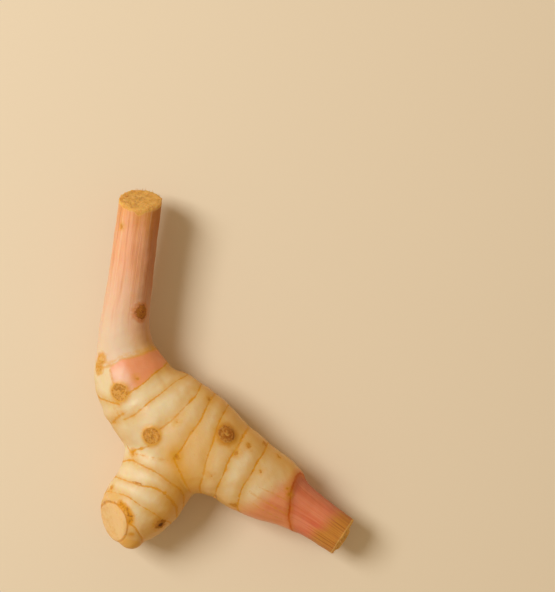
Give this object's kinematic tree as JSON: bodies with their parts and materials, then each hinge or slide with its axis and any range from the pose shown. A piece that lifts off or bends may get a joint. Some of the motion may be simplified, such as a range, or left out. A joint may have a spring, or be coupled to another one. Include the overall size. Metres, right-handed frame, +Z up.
{
  "type": "galangal root",
  "caption": "Fresh galangal rhizome, thick and ringed with leaf scars, forked into a short cut stub and an arm, with the cut bases of a leafy stem and a pink shoot.",
  "frame": {"origin": "on the surface it lies on, under the middle of its bounding box", "axes": "+Z up from the surface it lies on, +Y towards the cut end of the leafy stem, +X towards the side the pink shoot points to"},
  "size_m": [0.1097, 0.1541, 0.035],
  "materials": {
    "rhizome_skin": "waxy cream skin with tan ring lines, corky root scars and a pink blush at the shoots"
  },
  "bodies": {
    "root": {"galangal_rhizome": "rhizome_skin"}
  },
  "joints": []
}
